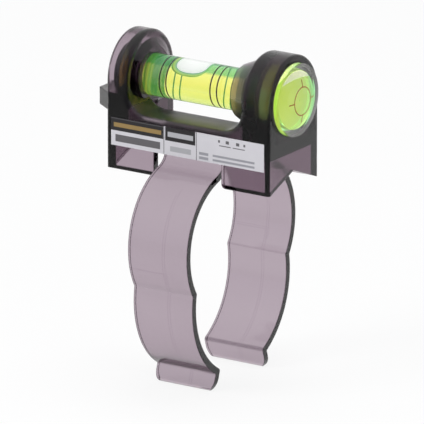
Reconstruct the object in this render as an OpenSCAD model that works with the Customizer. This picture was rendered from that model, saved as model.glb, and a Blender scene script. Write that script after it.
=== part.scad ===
// Clip-on level for a drill: a smoke-clear moulding with two spring arms that
// snap round the drill's housing, a tubular vial between its ears and a
// domed round vial in the end of the longer ear.
// +X runs along the tubular vial towards the round one, -Y is the side with
// the label, +Z is up. The origin is the centre of the drill in the grip.

/* [Head] */
// Length of the head, end face to end face
head_l = 60; // [56:0.5:66]
// Depth of the head, front to back
head_w = 27.9; // [26:0.1:31]
// Wall of the skirts and the end walls
wall = 2.5; // [1.8:0.1:3]
// Rounding of the head's outer edges
edge_r = 0.9; // [0.4:0.1:1.5]
// Rounding of the edges round the trough, on the ears and the beam
rim_r = 1.6; // [0.5:0.1:1.8]
// Bottom of the skirts to the axis of the vials
axis_rise = 27.9; // [26:0.1:31]
// Bottom of the skirts to the top of the front beam, under the vial
floor_rise = 18.2; // [17:0.1:20]
// Depth of the front beam, from the label's face backward
beam_w = 11.4; // [8:0.1:12.5]
// Thickness of the beam's top, which is hollow from below
beam_t = 1.4; // [1.2:0.1:2.5]
// Bottom of the skirts to the low floor behind the beam
low_floor_rise = 12.3; // [11:0.1:14]
// Thickness of the low floor
low_floor_t = 1.7; // [1.2:0.1:2.5]
// Rise of the V notch in each end wall
seat_rise = 5.2; // [3:0.1:7]

/* [Ears] */
// Thickness of the plain ear
ear_t = 7.1; // [6:0.1:9]
// Thickness of the ear that holds the round vial
round_ear_t = 10.7; // [10:0.1:13]
// Radius of the trough's bottom corners
trough_r = 7.5; // [4:0.1:9]
// Height of the shallow boss on the plain ear
boss_h = 1.4; // [0.8:0.1:3]
// Height of the tall boss on the round vial's ear
tall_boss_h = 7.1; // [5:0.1:9]
// Radius of the face of each boss
boss_face_r = 8.7; // [8:0.1:10]
// Radius of the foot of each boss
boss_foot_r = 12; // [11:0.1:12.3]
// Thickness of the plain ear's plate, behind the hollow in its outer face
ear_plate_t = 3.6; // [2.5:0.1:5]
// Radius of the hub round the tube's seat, inside that hollow
hub_r = 8.8; // [8.2:0.1:9.5]

/* [Skirt windows] */
// Width of the window that each arm passes through
window_w = 25; // [24:0.1:28]
// Height of the window
window_h = 7.6; // [6.5:0.1:9]
// Rounding of the window's lower corners
window_r = 1.5; // [0.5:0.1:2.5]

/* [Thumb tab] */
// Reach of the tab from the end face
tab_reach = 6; // [4:0.1:9]
// Thickness of the tab
tab_t = 5.5; // [4:0.1:6.5]
// Width of the tab at its tip
tab_tip_w = 17.6; // [12:0.1:20]
// Width of the tab at the end face
tab_root_w = 26; // [20:0.1:26]
// Bottom of the skirts to the tab's underside
tab_rise = 18.2; // [14:0.1:20]

/* [Spring arms] */
// Width of each arm
arm_w = 21.7; // [18:0.1:23]
// Thickness of each arm
arm_t = 2.1; // [1.6:0.1:2.6]
// Radius of the drill housing that the arms grip
grip_r = 25.6; // [24:0.1:27]
// Bottom of the skirts to the centre of the grip
grip_drop = 36.6; // [34:0.1:40]
// Inner radius of the arm's upper bow
bow_r = 21.8; // [20:0.1:24]
// Centre of the upper bow, out from the middle
bow_out = 6.9; // [5:0.1:9]
// Centre of the upper bow, below the skirts
bow_drop = 19.5; // [17:0.1:22]
// Distance between the lips at their narrowest
mouth_w = 24.4; // [20:0.1:30]
// Length of each lip
lip_l = 5.2; // [3:0.1:8]
// Lean of each lip from the vertical
lip_lean = 18; // [5:1:40]
// Rounding of the lip's corners
lip_corner_r = 5; // [1:0.1:6]
// Middle of the head to the arm's root wall
root_y = 7.8; // [6:0.1:8.5]
// Outer radius of the bend where the arm turns up into its root wall
root_r = 5.5; // [2:0.1:6]

/* [Tubular vial] */
// Outside diameter of the tube
tube_d = 13.4; // [12:0.1:14.5]
// Depth of the tube's seat in the plain ear
tube_seat = 5.2; // [3:0.1:5.8]
// Distance from the tube's end to the round vial's socket
tube_stop = 3.9; // [2:0.1:5]
// Clearance of the tube in its seats
tube_gap = 0.05; // [0.02:0.01:0.1]
// Diameter of the spirit chamber
chamber_d = 10; // [8:0.1:11]
// Thickness of the tube's closed end
tube_floor_t = 1.95; // [1:0.05:3]
// Distance between the inner pair of lines
line_inner = 16.3; // [14:0.1:20]
// Distance between the outer pair of lines
line_outer = 21.2; // [20.5:0.1:26]
// Width of each line
line_w = 0.45; // [0.3:0.05:0.8]
// Depth of each line's groove
line_t = 0.12; // [0.08:0.01:0.2]
// Length of the bubble
bubble_l = 13; // [10:0.1:15]
// Height of the bubble
bubble_h = 1.8; // [1.4:0.1:2.4]
// How far the bubble lies off the tube's middle at rest
bubble_off = -2; // [-3:0.1:3]
// Clearance round each bubble
bubble_gap = 0.1; // [0.05:0.01:0.2]

/* [Round vial] */
// Diameter of the round vial's crown
lens_d = 23; // [21.5:0.1:23.4]
// Depth that the crown's edge is let into the end face
lens_seat_h = 1.5; // [1:0.1:3]
// Diameter of its body, inside the ear
lens_body_d = 20; // [18:0.1:20.5]
// Depth of its socket in the ear
socket_h = 7.2; // [6:0.1:8]
// Clearance of the round vial in its socket
lens_gap = 0.05; // [0.02:0.01:0.1]
// Height of its rim above the end face
rim_h = 1.6; // [1:0.1:3]
// Height of the crown above the rim
crown_h = 1.9; // [1:0.1:3]
// Side wall of the round vial
lens_wall = 1.2; // [0.8:0.1:1.6]
// Thickness of its crown over the liquid
crown_wall = 3.2; // [1.6:0.1:4]
// Thickness of the disc that closes it
disc_t = 1.4; // [1:0.1:2]
// Diameter of its bubble
round_bubble_d = 6.5; // [5:0.1:7.5]
// Depth of its bubble
round_bubble_h = 1.6; // [1:0.1:2]
// Mean diameter of the printed ring
ring_d = 8.9; // [8.2:0.1:11]
// Width of the printed ring
ring_w = 0.35; // [0.2:0.05:0.6]
// Depth of the printed ring's groove
ring_t = 0.12; // [0.08:0.01:0.2]
// Length of each of the ring's ticks
tick_l = 2.4; // [1:0.1:2.6]

/* [Label] */
// Length of the label
label_l = 56.4; // [50:0.1:58]
// Height of the label
label_h = 9; // [7:0.1:9.4]
// Thickness of the label
label_t = 0.15; // [0.1:0.01:0.3]

/* [Hidden] */
$fn = 96;
// Small overrun of a cutting shape past the face that it cuts
over = 0.5;

skirt_z = grip_drop;
axis_z = skirt_z + axis_rise;
floor_z = skirt_z + floor_rise;
low_floor_z = skirt_z + low_floor_rise;
ceiling_z = low_floor_z - low_floor_t;
end_x = head_l / 2;
side_y = head_w / 2;
ear_x = -end_x + ear_t;
round_ear_x = end_x - round_ear_t;
beam_y = beam_w - side_y;

seat_x = ear_x - tube_seat;
tube_end_x = end_x - socket_h - tube_stop;
tube_mid_x = (ear_x + boss_h + round_ear_x - tall_boss_h) / 2;
chamber_x = seat_x + tube_floor_t;
chamber_l = 2 * (tube_mid_x - chamber_x);
bore_r = tube_d / 2 + tube_gap;
chamber_r = chamber_d / 2;
level_z = axis_z + chamber_r - bubble_h;

socket_x = end_x - socket_h;
lens_r = lens_d / 2;
lens_base_x = socket_x + lens_gap;
lens_seat_x = end_x - lens_seat_h;
lens_body_r = lens_body_d / 2;
rim_x = end_x + rim_h;
crown_r = (lens_r * lens_r + crown_h * crown_h) / (2 * crown_h);
crown_x = rim_x + crown_h - crown_r;
well_r = lens_body_r - lens_wall;
well_x = lens_base_x + disc_t;
well_crown_r = crown_r - crown_wall;
round_rest_a = asin((well_r - round_bubble_d / 2 - 3 * bubble_gap) / well_crown_r);

// A solid turned round the vials' axis, from a profile of X along the axis
// and Y out from it
module turned(x = 0) {
    translate([x, 0, axis_z]) rotate([0, 90, 0]) rotate_extrude()
        children();
}

module axis_cylinder(x0, x1, r) {
    translate([x0, 0, axis_z]) rotate([0, 90, 0]) cylinder(h = x1 - x0, r = r);
}

module axis_cone(x0, x1, r0, r1) {
    translate([x0, 0, axis_z]) rotate([0, 90, 0])
        cylinder(h = x1 - x0, r1 = r0, r2 = r1);
}

// An outline drawn in Y and Z, made w wide along X and centred on it
module along_x(w) {
    rotate([90, 0, 90]) translate([0, 0, -w / 2]) linear_extrude(w) children();
}

// An outline drawn in X and Z, made w deep along Y and centred on it
module along_y(w) {
    rotate([90, 0, 0]) translate([0, 0, -w / 2]) linear_extrude(w) children();
}

module rounded_rect(x, y, r) {
    square([x - 2 * r, y], center = true);
    square([x, y - 2 * r], center = true);
    for (i = [-1, 1], j = [-1, 1])
        translate([i * (x / 2 - r), j * (y / 2 - r)]) circle(r);
}

// Body: one ear's round top, its rims rounded by r0 at x0 and by r1 beyond
module ear_disc(x0, t, r0, r1) {
    turned(x0) {
        square([side_y - r0, t / 2]);
        translate([0, t / 2]) square([side_y - r1, t / 2]);
        translate([0, r0]) square([side_y, t - r0 - r1]);
        translate([side_y - r0, r0]) circle(r0);
        translate([side_y - r1, t - r1]) circle(r1);
    }
}

// Body: the block that the ears stand on
module head_block() {
    translate([0, 0, skirt_z]) linear_extrude(axis_rise)
        rounded_rect(head_l, head_w, edge_r);
}

// Body: the outline of the U between the ears, in X and Z, grown by g
module trough_outline(g) {
    top = axis_z + side_y + over;
    mid = (ear_x + round_ear_x) / 2;
    half = (round_ear_x - ear_x) / 2;
    r = trough_r + g;
    translate([mid - half - g, floor_z + trough_r])
        square([2 * (half + g), top - floor_z - trough_r]);
    translate([mid - half + trough_r, floor_z - g])
        square([2 * (half - trough_r), trough_r + g + over]);
    for (i = [-1, 1])
        translate([mid + i * (half - trough_r), floor_z + trough_r]) circle(r);
}

// Body: the trough between the ears, and the deeper gap behind the beam
module trough() {
    along_y(head_w + 2 * over) trough_outline(0);
    translate([ear_x, beam_y, low_floor_z])
        cube([round_ear_x - ear_x, head_w, 2 * head_w]);
}

// Body: what rounding takes off a corner that stands on the origin
module corner_cut() {
    difference() {
        translate([-over, -over]) square(rim_r + over);
        translate([rim_r, rim_r]) circle(rim_r);
    }
}

// Body: the cutter that rounds the edges of the U, up to where the ears'
// round tops begin, and the ears' edges behind
module trough_rims() {
    mid = (ear_x + round_ear_x) / 2;
    half = (round_ear_x - ear_x) / 2;
    bend_z = floor_z + trough_r;
    translate([mid, 0, 0]) for (i = [0, 1]) mirror([i, 0, 0]) {
        translate([-half, -side_y, bend_z])
            linear_extrude(axis_z - bend_z) mirror([1, 0]) corner_cut();
        translate([-half, side_y, low_floor_z])
            linear_extrude(axis_z - low_floor_z) rotate(180) corner_cut();
        intersection() {
            translate([trough_r - half, -side_y, bend_z]) rotate([-90, 0, 0])
                rotate_extrude() translate([trough_r, 0]) corner_cut();
            translate([-half - 2 * rim_r, -side_y - over, bend_z - 2 * trough_r])
                cube([trough_r + 2 * rim_r, 2 * rim_r + over, 2 * trough_r]);
        }
    }
    translate([mid, 0, 0]) along_x(2 * (half - trough_r))
        translate([-side_y, floor_z]) mirror([0, 1]) corner_cut();
}

// Body: the space inside the beam, which follows the U above it
module beam_hollow() {
    rise = floor_z + trough_r - ceiling_z;
    translate([0, (beam_y - side_y) / 2, 0]) along_y(beam_w - 2 * wall) difference() {
        translate([ear_x, ceiling_z - over])
            square([round_ear_x - ear_x, rise + over]);
        trough_outline(beam_t);
    }
}

// Body: the windows in the skirts, with their lower corners rounded off
module skirt_windows() {
    along_y(head_w + 2 * over)
        translate([0, skirt_z]) {
            translate([-window_w / 2, -over])
                square([window_w, window_h + over]);
            for (i = [-1, 1]) difference() {
                translate([i * (window_w / 2 + window_r / 2), window_r / 2 - over / 2])
                    square([window_r, window_r + over], center = true);
                translate([i * (window_w / 2 + window_r), window_r])
                    circle(window_r);
            }
        }
}

// Body: the hollow in the plain ear's outer face, round the tube's seat and
// down to the tab's top
module ear_hollow() {
    r = side_y - wall;
    depth = ear_t - ear_plate_t;
    tab_z = skirt_z + tab_rise + tab_t;
    translate([-end_x + (depth - over) / 2, 0, 0]) along_x(depth + over)
        difference() {
            union() {
                translate([0, axis_z]) circle(r);
                translate([-r, tab_z]) square([2 * r, axis_z - tab_z]);
            }
            translate([0, axis_z]) circle(hub_r);
            translate([-2 * r, tab_z - 2 * r]) square([4 * r, 2 * r]);
        }
}

// Body: the V notch that sits on the drill, cut in both end walls
module seat_notch() {
    along_x(head_l + 2 * over)
        polygon([[-side_y, skirt_z - over], [side_y, skirt_z - over],
                 [side_y - edge_r, skirt_z], [0, skirt_z + seat_rise],
                 [edge_r - side_y, skirt_z]]);
}

module hollow() {
    translate([-end_x + wall, -side_y + wall, skirt_z - over])
        cube([head_l - 2 * wall, head_w - 2 * wall, ceiling_z - skirt_z + over]);
}

// Body: the tab on the plain ear's end
module thumb_tab() {
    translate([0, 0, skirt_z + tab_rise]) linear_extrude(tab_t)
        polygon([[-end_x + edge_r, -tab_root_w / 2], [-end_x, -tab_root_w / 2],
                 [-end_x - tab_reach, -tab_tip_w / 2],
                 [-end_x - tab_reach, tab_tip_w / 2],
                 [-end_x, tab_root_w / 2], [-end_x + edge_r, tab_root_w / 2]]);
}

// Arms: both bows of one side, as a strip of even thickness
module arm_bows(grow) {
    circle(grip_r + grow);
    translate([bow_out, skirt_z - bow_drop]) circle(bow_r + grow);
}

// Arms: the lip that leads the drill in, leaning out from the mouth. It
// starts on the middle of the strip, at the point where the strip ends
mid_r = grip_r + arm_t / 2;
lip_y = (mouth_w + arm_t) / 2;
lip_a = asin(lip_y / mid_r);
lip_z = -mid_r * cos(lip_a);

module lip_outline() {
    translate([lip_y, lip_z]) rotate(lip_lean) {
        translate([-arm_t / 2, -lip_l]) square([arm_t, lip_l]);
        for (z = [0, -lip_l]) translate([0, z]) circle(arm_t / 2);
    }
}

// Arms: one arm's outline in Y and Z, from its root wall to its lip. The
// bend's centre is where its arc meets the upper bow without a crease
module arm_outline() {
    bow_z = skirt_z - bow_drop;
    bend_y = root_y + arm_t + root_r;
    bend_out = bend_y - bow_out;
    bend_up = sqrt(pow(bow_r + arm_t + root_r, 2) - pow(bend_out, 2));
    bend_z = bow_z + bend_up;
    difference() {
        arm_bows(arm_t);
        arm_bows(0);
        polygon([[bow_out, bow_z], [bow_out + 2 * bend_out, bow_z + 2 * bend_up],
                 [-3 * grip_r, bow_z + 2 * bend_up], [-3 * grip_r, -3 * grip_r],
                 [2 * lip_y, -2 * mid_r * cos(lip_a)], [0, 0]]);
    }
    intersection() {
        translate([bend_y, bend_z]) difference() {
            circle(root_r + arm_t);
            circle(root_r);
        }
        polygon([[bow_out, bow_z], [bend_y, bend_z], [-bend_y, bend_z], [-bend_y, bow_z]]);
    }
    translate([root_y, bend_z]) square([arm_t, ceiling_z + over - bend_z]);
    lip_outline();
}

// Arms: both arms, with the corners of their lips rounded
module arms() {
    reach = bow_out + bow_r + arm_t;
    low = lip_z - lip_l - arm_t;
    intersection() {
        along_x(arm_w) for (m = [0, 1]) mirror([m, 0]) arm_outline();
        along_y(2 * reach + 2 * over) {
            translate([-arm_w / 2, low + lip_corner_r])
                square([arm_w, ceiling_z + 2 * over - low - lip_corner_r]);
            translate([-arm_w / 2 + lip_corner_r, low])
                square([arm_w - 2 * lip_corner_r, lip_corner_r + over]);
            for (i = [-1, 1])
                translate([i * (arm_w / 2 - lip_corner_r), low + lip_corner_r])
                    circle(lip_corner_r);
        }
    }
}

// The moulding: head, ears, bosses and spring arms in one piece
module body() {
    color([0.45, 0.41, 0.45, 0.6]) difference() {
        union() {
            difference() {
                union() {
                    head_block();
                    ear_disc(-end_x, ear_t, edge_r, rim_r);
                    ear_disc(round_ear_x, round_ear_t, rim_r, edge_r);
                }
                trough();
                trough_rims();
                ear_hollow();
                hollow();
                beam_hollow();
                skirt_windows();
                seat_notch();
            }
            axis_cone(ear_x - over, ear_x + boss_h,
                      boss_foot_r + over, boss_face_r);
            axis_cone(round_ear_x - tall_boss_h, round_ear_x + over,
                      boss_face_r, boss_foot_r);
            thumb_tab();
            arms();
            translate([-arm_w / 2, -root_y - arm_t, ceiling_z])
                cube([arm_w, arm_t, floor_z - beam_t / 2 - ceiling_z]);
        }
        axis_cylinder(seat_x, socket_x + over, bore_r);
        axis_cylinder(socket_x, end_x + over, lens_body_r + lens_gap);
        axis_cylinder(lens_seat_x, end_x + over, lens_r + lens_gap);
    }
}

// A thin band let into the tube's surface at each line
module line_bands(r_in, r_out) {
    for (d = [-line_outer, -line_inner, line_inner, line_outer])
        turned(tube_mid_x + d / 2 - line_w / 2)
            translate([r_in, 0]) square([r_out - r_in, line_w]);
}

// Clear tube, closed at the plain ear's end and open at the other
module tube_barrel() {
    color([0.92, 0.95, 0.93, 0.35]) difference() {
        axis_cylinder(seat_x, tube_end_x, tube_d / 2);
        axis_cylinder(chamber_x, tube_end_x + over, chamber_r);
        line_bands(tube_d / 2 - line_t, tube_d / 2 + over);
    }
}

// Plug glued into the open end of the tube
module tube_plug() {
    color([0.9, 0.93, 0.9, 0.5])
        axis_cylinder(chamber_x + chamber_l, tube_end_x, chamber_r);
}

// The top of the chamber that the bubble runs in, cut off by the liquid level
module bubble_space(x0, x1, r, z) {
    intersection() {
        axis_cylinder(x0, x1, r);
        translate([x0, -chamber_r, z])
            cube([x1 - x0, chamber_d, axis_z + chamber_r - z]);
    }
}

module tube_spirit() {
    color([0.85, 0.9, 0.2, 0.7]) difference() {
        axis_cylinder(chamber_x, chamber_x + chamber_l, chamber_r);
        bubble_space(chamber_x - over, chamber_x + chamber_l + over,
                     chamber_r + over, level_z);
    }
}

// The bubble, with round ends, lying against the top of the chamber
module tube_bubble() {
    mid = tube_mid_x + bubble_off;
    half_w = sqrt(pow(chamber_r, 2) - pow(level_z - axis_z, 2));
    color([0.97, 0.99, 0.97, 0.8]) intersection() {
        bubble_space(mid - bubble_l / 2, mid + bubble_l / 2,
                     chamber_r - bubble_gap, level_z + bubble_gap);
        translate([mid, 0, level_z]) linear_extrude(bubble_h) {
            square([bubble_l - 2 * half_w, 2 * half_w], center = true);
            for (i = [-1, 1]) translate([i * (bubble_l / 2 - half_w), 0])
                circle(half_w);
        }
    }
}

// The tube's four dark lines
module tube_lines() {
    color([0.08, 0.08, 0.08]) line_bands(tube_d / 2 - line_t, tube_d / 2);
}

// A ball round the crown's centre
module crown_ball(r) {
    translate([crown_x, 0, axis_z]) rotate([0, 90, 0]) sphere(r, $fn = 180);
}

// The space under a crown: a plug of radius r from x0 up to a dome
module domed_plug(x0, x1, r, dome_r) {
    intersection() {
        axis_cylinder(x0, x1, r);
        crown_ball(dome_r);
    }
}

// The printed ring and its four ticks, as a shape of depth t under the crown
module ring_mark(t) {
    intersection() {
        difference() {
            crown_ball(crown_r);
            crown_ball(crown_r - t);
        }
        translate([rim_x - over, 0, axis_z]) rotate([90, 0, 90]) linear_extrude(crown_h + 2 * over) {
            difference() {
                circle(ring_d / 2 + ring_w / 2);
                circle(ring_d / 2 - ring_w / 2);
            }
            for (a = [0, 90, 180, 270]) rotate(a)
                translate([ring_d / 2, -ring_w / 2]) square([tick_l, ring_w]);
        }
    }
}

// Clear cup with a crowned top
module round_lens() {
    color([0.92, 0.95, 0.93, 0.35]) difference() {
        union() {
            domed_plug(lens_seat_x + lens_gap, rim_x + crown_h + over, lens_r, crown_r);
            axis_cylinder(lens_base_x, end_x, lens_body_r);
        }
        domed_plug(lens_base_x - over, rim_x + crown_h, well_r, well_crown_r);
        ring_mark(ring_t);
    }
}

// White disc that closes the cup and backs the liquid
module round_disc() {
    color([0.93, 0.93, 0.9])
        axis_cylinder(lens_base_x, well_x, well_r);
}

// A round cutter aimed from the crown's centre, a degrees up from its axis
module aimed_disc(a, r) {
    translate([crown_x, 0, axis_z]) rotate([0, 90 - a, 0])
        cylinder(h = 2 * crown_r, r = r);
}

// Room for the round bubble, from the top of the well over to the bottom
module round_bubble_run() {
    r = round_bubble_d / 2 + bubble_gap;
    far = 2 * crown_r;
    difference() {
        union() {
            for (a = [-round_rest_a, round_rest_a]) aimed_disc(a, r);
            translate([crown_x, 0, axis_z]) along_y(2 * r)
                polygon([[0, 0],
                         [far * cos(round_rest_a), -far * sin(round_rest_a)],
                         [far * cos(round_rest_a), far * sin(round_rest_a)]]);
        }
        crown_ball(well_crown_r - round_bubble_h - bubble_gap);
    }
}

module round_spirit() {
    color([0.75, 0.85, 0.3, 0.8]) difference() {
        domed_plug(well_x, rim_x + crown_h, well_r, well_crown_r);
        round_bubble_run();
    }
}

module round_bubble() {
    color([0.97, 0.99, 0.97, 0.8]) intersection() {
        difference() {
            crown_ball(well_crown_r - bubble_gap);
            crown_ball(well_crown_r - round_bubble_h);
        }
        aimed_disc(round_rest_a, round_bubble_d / 2);
    }
}

module round_ring() {
    color([0.6, 0.25, 0.1]) ring_mark(ring_t);
}

// Printed label on the front skirt, above the window
module label() {
    color([0.9, 0.9, 0.92])
        translate([-label_l / 2, -side_y - label_t, skirt_z + window_h])
            cube([label_l, label_t, label_h]);
}

body();
tube_barrel();
tube_plug();
tube_spirit();
tube_bubble();
tube_lines();
round_lens();
round_disc();
round_spirit();
round_bubble();
round_ring();
label();
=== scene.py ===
# %% [markdown]
# # A clip-on drill level
# The real object is one smoke-clear moulding that snaps onto a drill. Two
# small bubble vials are pressed into it: a tube between its ears, and a
# domed round one in its end.
#
# The solids come from the CAD part, which is loaded here as a frame that is
# never moved. This script dresses it: it gives every solid a finish, and
# makes again, as smoother pieces, the few whose look depends on how light
# bends through them.

import math

import bpy
from mathutils import Matrix, Vector


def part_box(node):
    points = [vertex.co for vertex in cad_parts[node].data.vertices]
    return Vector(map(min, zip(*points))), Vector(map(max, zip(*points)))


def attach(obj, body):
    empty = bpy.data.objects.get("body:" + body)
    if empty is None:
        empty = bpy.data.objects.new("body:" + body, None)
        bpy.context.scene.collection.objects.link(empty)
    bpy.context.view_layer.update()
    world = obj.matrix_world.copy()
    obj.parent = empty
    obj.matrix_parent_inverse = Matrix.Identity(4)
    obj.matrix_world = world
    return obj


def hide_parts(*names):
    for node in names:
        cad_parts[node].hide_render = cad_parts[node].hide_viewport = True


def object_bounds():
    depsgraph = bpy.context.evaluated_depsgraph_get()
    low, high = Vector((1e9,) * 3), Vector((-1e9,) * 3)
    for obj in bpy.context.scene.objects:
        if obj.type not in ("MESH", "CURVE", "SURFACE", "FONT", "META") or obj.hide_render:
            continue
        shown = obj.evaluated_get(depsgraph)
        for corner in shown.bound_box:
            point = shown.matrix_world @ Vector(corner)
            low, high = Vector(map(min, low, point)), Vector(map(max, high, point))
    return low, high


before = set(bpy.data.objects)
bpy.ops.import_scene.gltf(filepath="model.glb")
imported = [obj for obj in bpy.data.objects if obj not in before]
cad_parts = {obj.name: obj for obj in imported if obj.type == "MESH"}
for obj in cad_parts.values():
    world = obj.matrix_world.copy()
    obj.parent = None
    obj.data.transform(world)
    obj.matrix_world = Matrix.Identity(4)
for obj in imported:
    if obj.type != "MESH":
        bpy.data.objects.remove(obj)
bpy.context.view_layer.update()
scene = bpy.context.scene
print("solids:", ", ".join(sorted(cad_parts)))

# %% [markdown]
# ## The sizes that the scene needs
# The vials' places are read from the solids themselves, so the dressed
# pieces follow the part if one of its sizes changes. Millimetres are easier
# to think in than metres, so one small constant turns one into the other.

# %% Read the vials' places
MM = 0.001


def reach(node):
    """Lowest and highest corner of a solid, in metres."""
    low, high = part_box(node)
    return Vector(low), Vector(high)


barrel_low, barrel_high = reach("tube_barrel")
spirit_low, spirit_high = reach("tube_spirit")
lens_low, lens_high = reach("round_lens")
disc_low, disc_high = reach("round_disc")
air_low, air_high = reach("tube_bubble")
label_corner = reach("label")[0]

axis_z = (barrel_low.z + barrel_high.z) / 2
chamber_r = (spirit_high.y - spirit_low.y) / 2
lens_r = (lens_high.y - lens_low.y) / 2
well_r = (disc_high.y - disc_low.y) / 2
print("mm: axis", round(axis_z / MM, 2), "chamber", round(chamber_r / MM, 2), "well", round(well_r / MM, 2))

# %% [markdown]
# ## Helpers for meshes
# Nearly everything here that isn't a CAD solid was turned on a lathe or
# moulded round: a profile of points is swung round the vials' axis. One
# function makes such a piece, so that each piece below is only its profile.

# %% Make a mesh from points and faces
def piece_from(name, points, faces):
    mesh = bpy.data.meshes.new(name)
    mesh.from_pydata([tuple(p) for p in points], [], faces)
    mesh.update()
    mesh.shade_smooth()
    piece = bpy.data.objects.new(name, mesh)
    scene.collection.objects.link(piece)
    print(name, "has", len(faces), "faces")
    return piece


# %% Turn a profile round the vials' axis
def turned(name, profile, sides=96, crease=40):
    """profile holds (x, r) in metres, from one end of the axis to the other."""
    points, faces, rings = [], [], []
    for x, r in profile:
        if r < 1e-7:
            rings.append([len(points)])
            points.append((x, 0, axis_z))
        else:
            ring = []
            for i in range(sides):
                a = 2 * math.pi * i / sides
                ring.append(len(points))
                points.append((x, r * math.cos(a), axis_z + r * math.sin(a)))
            rings.append(ring)
    for one, two in zip(rings, rings[1:]):
        for i in range(sides):
            j = (i + 1) % sides
            if len(one) == 1:
                faces.append((one[0], two[j], two[i]))
            elif len(two) == 1:
                faces.append((one[i], one[j], two[0]))
            else:
                faces.append((one[i], one[j], two[j], two[i]))
    piece = piece_from(name, points, faces)
    piece.data.set_sharp_from_angle(angle=math.radians(crease))
    return piece


# %% [markdown]
# ## Helpers for nodes
# A finish is a small net of nodes. Written out, each node takes several
# lines, so the steps that come back are functions: each adds one node, feeds
# it, and hands on its output. What is fed can be a plain value or the output
# of another node.

# %% Add a node and feed its sockets
def add(tree, kind, **options):
    node = tree.nodes.new("ShaderNode" + kind)
    for option, value in options.items():
        setattr(node, option, value)
    return node


def feed(tree, socket, value):
    if isinstance(value, bpy.types.NodeSocket):
        tree.links.new(value, socket)
    else:
        socket.default_value = value


# %% Work with numbers and directions
def calculate(tree, operation, one, two):
    node = add(tree, "Math", operation=operation)
    feed(tree, node.inputs[0], one)
    feed(tree, node.inputs[1], two)
    return node.outputs["Value"]


def along(tree, one, two):
    """How far two directions agree, or how far out a point lies along one."""
    node = add(tree, "VectorMath", operation="DOT_PRODUCT")
    feed(tree, node.inputs[0], one)
    feed(tree, node.inputs[1], two)
    return node.outputs["Value"]


def spread(tree, value, low, high, to_low=0, to_high=1, soft=False):
    """Stretches low to high over to_low to to_high, and stops at both."""
    node = add(tree, "MapRange", interpolation_type="SMOOTHSTEP" if soft else "LINEAR")
    feed(tree, node.inputs["Value"], value)
    for label, number in (("From Min", low), ("From Max", high), ("To Min", to_low), ("To Max", to_high)):
        node.inputs[label].default_value = number
    return node.outputs["Result"]


# %% Work with colours
def blend(tree, share, one, two, kind="RGBA"):
    """one where share is 0, two where it is 1."""
    node = add(tree, "Mix", data_type=kind)
    feed(tree, node.inputs["Factor"], share)
    feed(tree, node.inputs["A"], one)
    feed(tree, node.inputs["B"], two)
    return node.outputs["Result"]


def overlay(tree, socket, share, value, kind="RGBA"):
    """Lays a value over what already feeds a socket, where share is 1."""
    below = socket.links[0].from_socket
    feed(tree, socket, blend(tree, share, below, value, kind))


def color_steps(tree, value, steps):
    """steps holds (place, colour), with the places from 0 to 1."""
    node = add(tree, "ValToRGB")
    stops = node.color_ramp.elements
    for stop, (place, color) in ((stops[0], steps[0]), (stops[1], steps[-1])):
        stop.position = place
        stop.color = color
    for place, color in steps[1:-1]:
        stops.new(place).color = color
    feed(tree, node.inputs["Fac"], value)
    return node.outputs["Color"]


def linear(r, g, b):
    """A colour as an eye reads it, 0 to 255, as the numbers light works in."""
    def one(v):
        v = v / 255
        return v / 12.92 if v <= 0.04045 else ((v + 0.055) / 1.055) ** 2.4
    return (one(r), one(g), one(b), 1)


# %% [markdown]
# ## Helpers for finishes
# Every finish here is a Principled surface with a little unevenness, since
# no moulding is perfectly even. The unevenness is one node group with named
# inputs, used by all the finishes with their own values. A second group
# marks a rectangle on a face, for moulding lines and printed fields: a
# picture could do that too, but a rectangle stays sharp at any distance.

# %% A node group for slight unevenness
def group_with(name, inputs, outputs):
    group = bpy.data.node_groups.new(name, "ShaderNodeTree")
    for labels, side in ((inputs, "INPUT"), (outputs, "OUTPUT")):
        for label in labels:
            group.interface.new_socket(label, in_out=side, socket_type="NodeSocketFloat")
    return group, group.nodes.new("NodeGroupInput"), group.nodes.new("NodeGroupOutput")


def make_unevenness():
    group, give, take = group_with("Slight unevenness", ("Size", "Low", "High"), ("Roughness", "Mask"))
    place = add(group, "TexCoord")
    noise = add(group, "TexNoise")
    noise.inputs["Detail"].default_value = 3
    span = add(group, "MapRange")
    feed(group, noise.inputs["Vector"], place.outputs["Object"])
    feed(group, noise.inputs["Scale"], give.outputs["Size"])
    feed(group, span.inputs["Value"], noise.outputs["Fac"])
    feed(group, span.inputs["To Min"], give.outputs["Low"])
    feed(group, span.inputs["To Max"], give.outputs["High"])
    feed(group, take.inputs["Roughness"], span.outputs["Result"])
    feed(group, take.inputs["Mask"], noise.outputs["Fac"])
    return group


unevenness = make_unevenness()
print("group:", unevenness.name)


# %% A node group that marks a rectangle
def make_rectangle():
    group, give, take = group_with("Rectangle on a face", ("Left", "Right", "Bottom", "Top"), ("Mask",))
    place = add(group, "TexCoord")
    parts = add(group, "SeparateXYZ")
    feed(group, parts.inputs["Vector"], place.outputs["Object"])
    inside = 1
    for axis, label, test in (("X", "Left", "GREATER_THAN"), ("X", "Right", "LESS_THAN"),
                              ("Z", "Bottom", "GREATER_THAN"), ("Z", "Top", "LESS_THAN")):
        passed = calculate(group, test, parts.outputs[axis], give.outputs[label])
        inside = calculate(group, "MULTIPLY", passed, inside)
    feed(group, take.inputs["Mask"], inside)
    return group


rectangle = make_rectangle()
print("group:", rectangle.name)


def mark(tree, left, right, bottom, top):
    """1 inside a rectangle seen along Y, 0 outside. Metres."""
    node = add(tree, "Group", node_tree=rectangle)
    for label, value in (("Left", left), ("Right", right), ("Bottom", bottom), ("Top", top)):
        node.inputs[label].default_value = value
    return node.outputs["Mask"]


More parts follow.
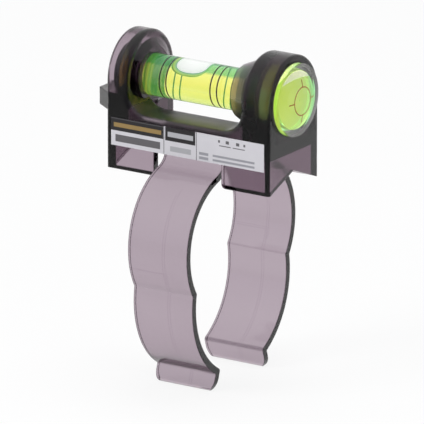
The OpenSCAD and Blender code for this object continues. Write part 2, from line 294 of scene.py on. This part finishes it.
# %% Start a finish
def finish(name, grain, rough, colors=None):
    """A surface whose roughness and colour wander between two values each.
    Without colors, the colour is left to be fed later."""
    material = bpy.data.materials.new(name)
    material.use_nodes = True
    tree = material.node_tree
    surface = tree.nodes["Principled BSDF"]
    skin = add(tree, "Group", node_tree=unevenness)
    for label, value in (("Size", grain), ("Low", rough[0]), ("High", rough[1])):
        skin.inputs[label].default_value = value
    feed(tree, surface.inputs["Roughness"], skin.outputs["Roughness"])
    if colors:
        feed(tree, surface.inputs["Base Color"], blend(tree, skin.outputs["Mask"], *colors))
    print("finish:", name)
    return material, tree, surface


def see_through(surface, ior):
    surface.inputs["Transmission Weight"].default_value = 1
    surface.inputs["IOR"].default_value = ior


def dye(tree, color, density):
    """Colours the depth of a clear solid rather than its surface."""
    node = add(tree, "VolumeAbsorption")
    node.inputs["Color"].default_value = color
    node.inputs["Density"].default_value = density
    tree.links.new(node.outputs["Volume"], tree.nodes["Material Output"].inputs["Volume"])


def coordinates(tree):
    """A point's X, Y and Z in the part's frame, as three outputs."""
    place = add(tree, "TexCoord")
    parts = add(tree, "SeparateXYZ")
    feed(tree, parts.inputs["Vector"], place.outputs["Object"])
    return parts.outputs


def wear(piece, material):
    piece.data.materials.clear()
    piece.data.materials.append(material)


# %% [markdown]
# ## Smoke-clear plastic
# The moulding is clear plastic with a grey-violet dye. Where a wall is thin
# it looks pale, and where it is seen edge on, or is as thick as the ears, it
# turns almost black. Paint on the surface can't do that. The dye is in the
# depth of the plastic, so it is given as absorption inside the solid, and
# the surface itself stays clear and glossy.

# %% Smoke plastic
PLASTIC_IOR = 1.49

smoke, tree, surface = finish("Smoke plastic", 90, (0.05, 0.15), ((1, 1, 1, 1), (0.97, 0.965, 0.97, 1)))
see_through(surface, PLASTIC_IOR)
dye(tree, (0.437, 0.30, 0.397, 1), 600)
wear(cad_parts["body"], smoke)

# %% [markdown]
# A polished mould leaves its sheen on the flat walls, but the trough and the
# thick ear are a little hazy. Each haze is a zone of the body, from left to
# right and from bottom to top, in millimetres from the part's origin.

# %% Haze
for haze, left, right, bottom, top in ((0.30, -21, 18.5, 50, 64),
                                       (0.24, 18.5, 31.3, 52, 80)):
    zone = mark(tree, left * MM, right * MM, bottom * MM, top * MM)
    overlay(tree, surface.inputs["Roughness"], zone, haze, "FLOAT")
print("haze on the trough and the thick ear")

# %% [markdown]
# The arms carry a few faint moulding lines, too shallow to be worth cutting
# into a solid. They are narrow zones of slightly darker skin, given in the
# same millimetres.

# %% Flow lines
FLOW_LINE = (0.84, 0.80, 0.84, 1)

for left, right, bottom, top in ((1.6, 1.9, -30, 35),
                                 (-10.9, 2.3, 11.0, 11.2),
                                 (2.1, 2.3, 7.6, 11.0)):
    line = mark(tree, left * MM, right * MM, bottom * MM, top * MM)
    overlay(tree, surface.inputs["Base Color"], line, FLOW_LINE)
print("three flow lines on the arms")

# %% [markdown]
# No moulded edge is knife sharp. A Bevel node rounds the edges for the light
# alone. Where its normal leaves the face's own, there is an edge, and there
# a painted shade darkens the plastic's colour: it stands for the dark outline
# that clear plastic shows where a rounded edge bends light away from the eye.

# %% Edges
EDGE_R = 0.55 * MM
NEAR_EDGE, AT_EDGE = 0.94, 0.82

soft_edge = add(tree, "Bevel", samples=6)
soft_edge.inputs["Radius"].default_value = EDGE_R
tree.links.new(soft_edge.outputs["Normal"], surface.inputs["Normal"])
face = add(tree, "NewGeometry")
match = along(tree, soft_edge.outputs["Normal"], face.outputs["Normal"])
# Painted shade: a dark outline painted into the colour along every edge.
overlay(tree, surface.inputs["Base Color"], spread(tree, match, NEAR_EDGE, AT_EDGE), (0.08, 0.06, 0.08, 1))
print("edges rounded by", EDGE_R / MM, "mm")

# %% [markdown]
# ## Clear plastic of the vials
# The tube and the round cup are water-clear acrylic. They bend light
# strongly: that is why the liquid seems to fill the whole tube. Where the
# eye only grazes them, Layer Weight lays a thin grey rim of painted shade.

# %% Clear plastic
clear, tree, surface = finish("Clear acrylic", 200, (0.0, 0.01), ((1, 1, 1, 1), (0.985, 0.99, 0.985, 1)))
see_through(surface, PLASTIC_IOR)
grazing = add(tree, "LayerWeight")
grazing.inputs["Blend"].default_value = 0.5
# Painted shade: a grey rim where the eye grazes the surface.
grazing_shade_painted = spread(tree, grazing.outputs["Facing"], 0.66, 0.90)
overlay(tree, surface.inputs["Base Color"], grazing_shade_painted, (0.30, 0.34, 0.32, 1))
for node in ("tube_barrel", "round_lens"):
    wear(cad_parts[node], clear)

# %% [markdown]
# ## The liquid in the tube
# Level liquid holds a dye that glows yellow-green in daylight. Before a
# white ground it looks yellow, and before the dark ear it looks green,
# because then only its own glow is seen. The liquid is made as one full
# cylinder that reaches a hair into the tube's wall, so that light passes
# from plastic to liquid with no film of air between.

# %% The liquid in the tube
HAIR = 0.02 * MM
LIQUID_IOR = 1.36

tube_liquid = turned("tube_liquid", [
    (spirit_low.x - HAIR, 0), (spirit_low.x - HAIR, chamber_r + HAIR),
    (spirit_high.x + HAIR, chamber_r + HAIR), (spirit_high.x + HAIR, 0)])
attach(tube_liquid, "level")
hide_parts("tube_spirit")

# %% [markdown]
# A plain yellow solid would hide what lies behind it, so the liquid is clear
# and dyed in its depth, as the body is. Along its crest it looks green, and
# the end that sits in the plain ear shows bands of green and yellow light.
# Both are painted light laid on by place: shade by height for the crest, and
# by length for the bands, which are part of a glow painted over all the liquid.

# %% The liquid's finish
yellow_liquid, tree, surface = finish("Yellow level liquid", 150, (0.0, 0.01),
                                      ((1, 1, 1, 1), (0.98, 0.99, 0.97, 1)))
see_through(surface, LIQUID_IOR)
dye(tree, (0.98, 0.85, 0.10, 1), 200)
place = coordinates(tree)
# Painted shade: the top of the liquid is tinted green by height.
crest_shade_painted = spread(tree, place["Z"], axis_z + 0.72 * chamber_r, axis_z + 0.86 * chamber_r, soft=True)
overlay(tree, surface.inputs["Base Color"], crest_shade_painted, (0.10, 0.42, 0.55, 1))

# Painted glow: emission in bands of green and yellow light by length near the end, then an even green glow,
# in place of the dye's fluorescence.
BANDED = 10 * MM
from_end = spread(tree, place["X"], spirit_low.x, spirit_low.x + BANDED)
glow_bands_painted = color_steps(tree, from_end, (
    (0.0, (0.5, 0.9, 0.3, 1)), (0.08, (0.25, 0.60, 0.10, 1)), (0.15, (1.6, 2.0, 0.6, 1)),
    (0.22, (0.6, 1.1, 0.15, 1)), (0.28, (1.1, 1.7, 0.3, 1)), (0.36, (0.0, 0.55, 0.08, 1)),
    (0.52, (0.0, 0.50, 0.12, 1)), (0.60, (0.15, 1.0, 0.3, 1)), (1.0, (0.12, 0.9, 0.2, 1))))
feed(tree, surface.inputs["Emission Color"], glow_bands_painted)
surface.inputs["Emission Strength"].default_value = 0.16
wear(tube_liquid, yellow_liquid)

# %% [markdown]
# ## The air bubbles
# A bubble is seen because the light that it lets through isn't yellow. In
# the tube it is a long lozenge, flat below and pressed against the tube
# above, with round ends. A stretched ball would be quicker, but it wouldn't
# lie along the wall. So the mesh is built in slices, each a slice of the
# round chamber cut off by the liquid's level. Its points also carry how near
# they are to the bubble's rim, for the finish to paint a dark line of shade there.

# %% The long bubble
END_FULLNESS = 2.4
BELLY = 0.5
CURL = 0.9 * MM
LEFT_RIM, RIGHT_RIM = 1.02, 0.82


def long_bubble(name, low, high, slices=48, around=64):
    """CURL is how far the liquid's edge creeps up the wall and hides there."""
    mid, half = (low.x + high.x) / 2, (high.x - low.x) / 2
    deep = (high.z - low.z) + CURL
    top = chamber_r + 2.5 * HAIR
    widest = math.sqrt(top ** 2 - (top - deep) ** 2)
    arc = around // 2
    points, faces, rim = [], [], []
    for i in range(slices + 1):
        t = -math.cos(math.pi * i / slices)
        drop = deep * max(1 - abs(t) ** END_FULLNESS, 1e-4) ** 0.5
        wide = math.sqrt(top ** 2 - (top - drop) ** 2)
        edge = math.atan2(wide, top - drop)
        end = ((LEFT_RIM if t < 0 else RIGHT_RIM) * abs(t)) ** END_FULLNESS
        for k in range(around):
            if k < arc:
                a = edge * (2 * k / arc - 1)
                y, z = top * math.sin(a), top * math.cos(a)
                rim.append(min(end + (min(y, 0) / widest) ** 4, 1))
            else:
                s = 1 - 2 * (k - arc) / arc
                y, z = wide * s, top - drop - BELLY * drop * (1 - s * s)
                rim.append(1 - 0.2 * (1 - s * s))
            points.append((mid + half * t, y, axis_z + z))
    for i in range(slices):
        for k in range(around):
            n = (k + 1) % around
            faces.append((i * around + k, i * around + n,
                          (i + 1) * around + n, (i + 1) * around + k))
    faces.append(tuple(range(around)))
    faces.append(tuple(reversed(range(slices * around, (slices + 1) * around))))
    piece = piece_from(name, points, faces)
    piece.data.attributes.new("rim", "FLOAT", "POINT").data.foreach_set("value", rim)
    return piece


tube_air_piece = long_bubble("tube_air_bubble", air_low, air_high)
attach(tube_air_piece, "tube_air")
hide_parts("tube_bubble")

# %% The long bubble's finish
air, tree, surface = finish("Air in the yellow liquid", 300, (0.04, 0.12))
surface.inputs["Specular IOR Level"].default_value = 0.6
edge = add(tree, "Attribute", attribute_name="rim")
# Painted light: the rim value sets a white painted glow in the middle and painted green shade toward the
# rim and belly, in colour and emission alike.
rim = color_steps(tree, edge.outputs["Fac"], (
    (0.0, (0.97, 0.98, 0.97, 1)), (0.50, (0.9, 0.94, 0.9, 1)), (0.58, (0.08, 0.36, 0.16, 1)),
    (0.66, (0.30, 0.60, 0.22, 1)), (0.90, (0.42, 0.66, 0.08, 1)), (1.0, (0.10, 0.30, 0.03, 1))))
feed(tree, surface.inputs["Base Color"], rim)
feed(tree, surface.inputs["Emission Color"], rim)
surface.inputs["Emission Strength"].default_value = 0.47
wear(tube_air_piece, air)

# %% [markdown]
# ## The round vial
# A shallow cup with a crowned top, seen from its bright side: a pale disc
# closes it at the back, and the liquid in front of the disc makes it glow
# yellow-green. Liquid and disc each reach a hair into the cup's wall, for
# the same reason as in the tube.

# %% Read the crown's curve
CROWN_RISE = 1.9 * MM
CROWN_WALL = 3.2 * MM

crown_r = (lens_r ** 2 + CROWN_RISE ** 2) / (2 * CROWN_RISE)
crown_mid = lens_high.x - crown_r
inner_crown_r = crown_r - CROWN_WALL
print("mm: crown", round(crown_r / MM, 2), "inside", round(inner_crown_r / MM, 2))


def dome(r_from, ball, steps=20):
    """Profile points on a ball round the crown's centre, from r_from in to 0."""
    out = []
    for i in range(steps + 1):
        r = r_from * (1 - i / steps)
        out.append((crown_mid + math.sqrt(ball ** 2 - r ** 2), r))
    return out


# %% [markdown]
# The level hangs upright in the photo, so the round bubble has risen to the
# top of its well. There it spreads along the wall as a flat crescent. A
# lens shape would stand out from the wall, so it is made as two skins, one
# under the dome and one that bulges away from it, closed round their edge.

# %% The round vial's bubble
BUBBLE_SKIN = 0.05 * MM


def dome_bubble(name, reach_r, low, half_w, thick, rows=14, across=36):
    """A flat bubble under the dome: its upper edge keeps reach_r from the
    middle, its lower edge sags to low, and it is half_w wide each way."""
    ball = inner_crown_r - BUBBLE_SKIN
    ends = math.sqrt(reach_r ** 2 - half_w ** 2)
    points, faces = [], []
    for side in (1, -1):
        for i in range(rows + 1):
            v = 2 * i / rows - 1
            for k in range(across + 1):
                u = 2 * k / across - 1
                y = half_w * u
                top = math.sqrt(reach_r ** 2 - y ** 2)
                foot = ends - (ends - low) * (1 - u * u)
                z = 0.5 * (top + foot) + 0.5 * (top - foot) * v
                full = math.sqrt(max(1 - u * u, 0)) * math.sqrt(max(1 - v * v, 0))
                r = ball - (0 if side > 0 else HAIR + thick * full)
                points.append((crown_mid + math.sqrt(r ** 2 - y ** 2 - z ** 2), y, axis_z + z))
    wide = across + 1
    half = wide * (rows + 1)
    for i in range(rows):
        for k in range(across):
            quad = (i * wide + k, i * wide + k + 1, (i + 1) * wide + k + 1, (i + 1) * wide + k)
            faces.append(quad)
            faces.append(tuple(half + q for q in reversed(quad)))
    loop = ([k for k in range(wide)] + [i * wide + across for i in range(1, rows + 1)]
            + [rows * wide + k for k in range(across - 1, -1, -1)]
            + [i * wide for i in range(rows - 1, 0, -1)])
    for one, two in zip(loop, loop[1:] + loop[:1]):
        faces.append((two, one, half + one, half + two))
    return piece_from(name, points, faces)


round_air_piece = dome_bubble("round_air_bubble", reach_r=8.7 * MM, low=6.5 * MM,
                              half_w=6.6 * MM, thick=1.2 * MM)
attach(round_air_piece, "round_air")
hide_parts("round_bubble")

# %% [markdown]
# From liquid into air, light bends the other way than from air into liquid.
# So this bubble's index is below 1: that of air over that of the liquid.

# %% The round bubble's finish
# Painted light: air has no colour, so this bubble's violet tint and faint glow are painted.
round_air, tree, surface = finish("Air under the dome", 300, (0.02, 0.08),
                                  ((0.50, 0.42, 0.60, 1), (0.62, 0.52, 0.74, 1)))
surface.inputs["Transmission Weight"].default_value = 0.3
surface.inputs["IOR"].default_value = 1 / LIQUID_IOR
surface.inputs["Emission Color"].default_value = (0.6, 0.45, 0.9, 1)
surface.inputs["Emission Strength"].default_value = 0.12
wear(round_air_piece, round_air)

# %% The liquid and the disc of the round vial
round_liquid = turned("round_liquid", [(disc_high.x - HAIR, 0), (disc_high.x - HAIR, well_r + HAIR)]
                      + dome(well_r + HAIR, inner_crown_r + HAIR))
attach(round_liquid, "level")
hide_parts("round_spirit")

back_disc = turned("round_back_disc", [
    (disc_low.x, 0), (disc_low.x, well_r + HAIR),
    (disc_high.x, well_r + HAIR), (disc_high.x, 0)])
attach(back_disc, "level")
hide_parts("round_disc")

# %% [markdown]
# This liquid has a painted glow as the other has, and painted shade makes it
# dull green toward its far side. Its side wall shows through the thick ear as
# a dim green patch, so the wall gets a painted glow of its own below the dome.

# %% The round liquid's finish
WALL_END = disc_high.x + 4.6 * MM
PATCH_END = disc_high.x + 2.4 * MM
PATCH_TOP = axis_z + 4 * MM

green_liquid, tree, surface = finish("Yellow-green level liquid", 150, (0.0, 0.01),
                                     ((1, 1, 1, 1), (0.98, 0.99, 0.97, 1)))
see_through(surface, LIQUID_IOR)
dye(tree, (0.93, 0.97, 0.15, 1), 250)
# Painted shade: duller colour and glow toward the far side of the well.
far_shade_painted = spread(tree, coordinates(tree)["Y"], 0.50 * well_r, 0.92 * well_r, soft=True)
overlay(tree, surface.inputs["Base Color"], far_shade_painted, (0.55, 0.8, 0.75, 1))

# Painted glow: emission that stands for the liquid's fluorescence, brighter on the side wall and on a patch
# of it low by the disc.
painted_glow_socket = surface.inputs["Emission Color"]
feed(tree, painted_glow_socket, blend(tree, far_shade_painted, (0.74, 1.0, 0.20, 1), (0.04, 0.16, 0.10, 1)))
wall_glow_painted = mark(tree, disc_low.x, WALL_END, axis_z - lens_r, axis_z + lens_r)
overlay(tree, painted_glow_socket, wall_glow_painted, (0.38, 0.60, 0.13, 1))
patch_glow_painted = mark(tree, disc_high.x, PATCH_END, axis_z - lens_r, PATCH_TOP)
overlay(tree, painted_glow_socket, patch_glow_painted, (0.50, 1.35, 0.45, 1))
surface.inputs["Emission Strength"].default_value = 0.30
wear(round_liquid, green_liquid)

# %% The disc's finish
pale, tree, surface = finish("Pale disc", 200, (0.35, 0.5), ((0.76, 0.70, 0.45, 1), (0.82, 0.76, 0.5, 1)))
wear(back_disc, pale)

# %% [markdown]
# ## The plug of the tube
# The tube is closed by a glued plug that sits inside the thick ear, where
# it is only guessed at through the dark plastic. It starts two hairs inside
# its solid, so it never shares a face with the liquid.

# %% The plug
plug_low, plug_high = reach("tube_plug")
plug = turned("tube_end_plug", [
    (plug_low.x + 2 * HAIR, 0), (plug_low.x + 2 * HAIR, chamber_r + HAIR),
    (plug_high.x, chamber_r + HAIR), (plug_high.x, 0)])
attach(plug, "level")
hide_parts("tube_plug")
wear(plug, clear)

# %% [markdown]
# ## Printed lines and ring
# The tube's lines and the round vial's ring are ink in shallow grooves.
# They could be drawn on the plastic, but they are solids of their own in the
# part, so they only need their ink.

# %% Inks
black, tree, surface = finish("Black ink", 400, (0.35, 0.55),
                              ((0.012, 0.010, 0.010, 1), (0.03, 0.02, 0.02, 1)))
wear(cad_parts["tube_lines"], black)

ring_ink, tree, surface = finish("Red-brown ink", 400, (0.35, 0.55),
                                 (linear(150, 80, 20), linear(170, 96, 30)))
wear(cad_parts["round_ring"], ring_ink)

# %% [markdown]
# ## The label
# The label is printed film, split into plain fields of colour with a few
# bars and marks. The finish draws each field from where a point of the label
# lies, so there is no picture. Every row below is a field: its colour, then
# left, right, bottom and top in millimetres from the label's lower left
# corner. A later row covers an earlier one.

# %% The label's fields
DARK, GOLD, GREY = linear(34, 32, 34), linear(150, 124, 74), linear(150, 150, 156)
INK, PALE_INK, LIGHT = linear(96, 94, 97), linear(168, 168, 172), linear(176, 176, 180)

fields = [
    (DARK, -0.1, 19.4, 4.8, 9.2),
    (INK, -0.1, 19.4, 8.6, 8.75),
    (GOLD, 1.0, 18.6, 6.0, 7.4),
    (DARK, 20.1, 31.2, 4.6, 9.1),
    (DARK, 19.5, 19.7, 0, 9.1),
    (DARK, 31.5, 31.7, 0, 9.1),
    (INK, 1.6, 18.2, 1.3, 3.6),
    (LIGHT, 21.0, 30.4, 5.9, 7.5),
    (PALE_INK, 21.9, 29.6, 1.3, 3.0),
    (GREY, 32.6, 36.0, 2.0, 2.9),
    (GREY, 37.6, 53.0, 2.1, 2.8),
    (GREY, 32.6, 36.0, 0.6, 1.5),
    (GREY, 37.6, 53.0, 0.7, 1.4),
    (INK, 39.6, 40.3, 7.0, 7.8),
    (INK, 40.0, 44.2, 5.9, 6.2),
    (INK, 42.4, 43.6, 6.9, 7.9),
    (INK, 45.0, 49.4, 5.9, 6.2),
    (INK, 46.2, 47.4, 6.9, 7.9),
    (INK, 48.9, 49.6, 7.0, 7.8)]

# %% The label's finish
printed, tree, surface = finish("Printed film", 250, (0.25, 0.4),
                                (linear(203, 201, 206), linear(210, 208, 213)))
for color, left, right, bottom, top in fields:
    field = mark(tree, label_corner.x + left * MM, label_corner.x + right * MM,
                 label_corner.z + bottom * MM, label_corner.z + top * MM)
    overlay(tree, surface.inputs["Base Color"], field, color)
wear(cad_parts["label"], printed)
print(len(fields), "fields on the label")

# %% [markdown]
# ## Floor and backdrop
# The photograph has a white ground. The floor and the sky are white to the
# camera and to light that has passed through plastic or been mirrored, and
# the floor keeps a trace of the object's shadow. Toward the camera both get
# darker for mirrored light, as a room does behind a photographer, so the
# dark plastic stays dark.

# %% Floor
FLOOR_GAP = 0.02 * MM
FLOOR_SIZE = 6

floor_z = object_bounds()[0][2] - FLOOR_GAP
bpy.ops.mesh.primitive_plane_add(size=FLOOR_SIZE, location=(0, 0, floor_z))
floor = bpy.context.object
floor.name = "studio_floor"
print("floor at", round(floor_z / MM, 2), "mm")


# %% What the camera sees directly
def seen_directly(tree):
    """1 for rays that come straight from the camera, or by gloss or glass."""
    path = add(tree, "LightPath")
    last = path.outputs["Is Camera Ray"]
    for name in ("Is Glossy Ray", "Is Transmission Ray"):
        last = calculate(tree, "MAXIMUM", last, path.outputs[name])
    return last


def mix_surfaces(tree, share, one, two, end):
    """Shows the shader one where share is 0 and two where it is 1."""
    node = add(tree, "MixShader")
    feed(tree, node.inputs["Fac"], share)
    tree.links.new(one, node.inputs[1])
    tree.links.new(two, node.inputs[2])
    tree.links.new(node.outputs["Shader"], tree.nodes[end].inputs["Surface"])


# %% The floor's finish
GLOW_SHARE = 0.86
BACKWARD = (-0.549, 0.836, 0)

ground, tree, surface = finish("White ground", 3, (0.8, 0.9), ((0.9, 0.9, 0.9, 1), (0.92, 0.92, 0.92, 1)))
spot = add(tree, "NewGeometry")
depth = along(tree, spot.outputs["Position"], BACKWARD)
dim = spread(tree, depth, -0.14, 0.02, 0.3, 1.0, soft=True)
white = add(tree, "Emission")
white.inputs["Color"].default_value = (1, 1, 1, 1)
straight = add(tree, "LightPath").outputs["Is Camera Ray"]
feed(tree, white.inputs["Strength"], calculate(tree, "MAXIMUM", dim, straight))
share = calculate(tree, "MULTIPLY", seen_directly(tree), GLOW_SHARE)
mix_surfaces(tree, share, surface.outputs["BSDF"], white.outputs["Emission"], "Material Output")
wear(floor, ground)

# %% World
CAMERA_SIDE_AND_DOWN = (0.52, -0.8, -0.29)

world = bpy.data.worlds.new("Studio")
scene.world = world
world.use_nodes = True
tree = world.node_tree
back = tree.nodes["Background"]
back.inputs["Color"].default_value = (0.75, 0.76, 0.78, 1)
back.inputs["Strength"].default_value = 0.6
look = add(tree, "TexCoord")
toward = along(tree, look.outputs["Generated"], CAMERA_SIDE_AND_DOWN)
dim = spread(tree, toward, -0.1, 0.75, 1.0, 0.3, soft=True)
white = add(tree, "Background")
feed(tree, white.inputs["Color"], blend(tree, dim, (0.86, 0.78, 1, 1), (1, 1, 1, 1)))
feed(tree, white.inputs["Strength"], dim)
mix_surfaces(tree, seen_directly(tree), back.outputs["Background"],
             white.outputs["Background"], "World Output")
print("world:", world.name)

# %% [markdown]
# ## Lamps
# Three broad, plain lamps: enough to show every side at the colour it has,
# and too weak to bleach the pale parts. They are hidden from gloss and from
# glass, so that no bright disc is mirrored in the plastic.

# %% Lamps
middle = Vector((0, 0, 0.02))


def lamp(name, place, size, power):
    light = bpy.data.lights.new(name, "AREA")
    light.shape = "DISK"
    light.size = size
    light.energy = power
    holder = bpy.data.objects.new(name, light)
    scene.collection.objects.link(holder)
    holder.location = place
    holder.rotation_euler = (middle - Vector(place)).to_track_quat("-Z", "Y").to_euler()
    holder.visible_glossy = False
    holder.visible_transmission = False
    print("lamp:", name, power, "W")


lamp("window_left", (-0.5, -0.7, 0.7), 0.5, 4.4)
lamp("fill_right", (0.8, -0.5, 0.4), 0.5, 2.2)
lamp("top", (0.0, 0.2, 1.0), 0.6, 3.6)

# %% [markdown]
# ## Camera
# The photograph was taken from well away, a third of a right angle round to
# the right and a little above. The numbers were found by fitting a camera
# to the object's measured corners. The focal length was fitted in pixels of
# the picture, and is turned into millimetres of film here.

# %% Camera
turn, rise = math.radians(33.29), math.radians(16.87)
DISTANCE = 3.210
PICTURE_PIXELS = 424
FOCAL_PIXELS = 10365
FILM_WIDTH = 36

right = Vector((math.cos(turn), math.sin(turn), 0))
up = Vector((-math.sin(turn) * math.sin(rise), math.cos(turn) * math.sin(rise), math.cos(rise)))
away = right.cross(up)
aim = right * -0.07 * MM + up * -12.65 * MM + Vector((0, 0, 36.6 * MM))
lens = bpy.data.cameras.new("photo_camera")
lens.sensor_width = FILM_WIDTH
lens.lens = FOCAL_PIXELS / PICTURE_PIXELS * FILM_WIDTH
lens.clip_start = 0.1
lens.clip_end = 30
camera = bpy.data.objects.new("photo_camera", lens)
scene.collection.objects.link(camera)
camera.matrix_world = Matrix.Translation(aim + away * DISTANCE) @ Matrix((
    (right.x, up.x, away.x, 0), (right.y, up.y, away.y, 0), (right.z, up.z, away.z, 0), (0, 0, 0, 1)))
scene.camera = camera
scene.view_settings.view_transform = "Standard"
print("camera at", [round(v, 3) for v in camera.matrix_world.translation])
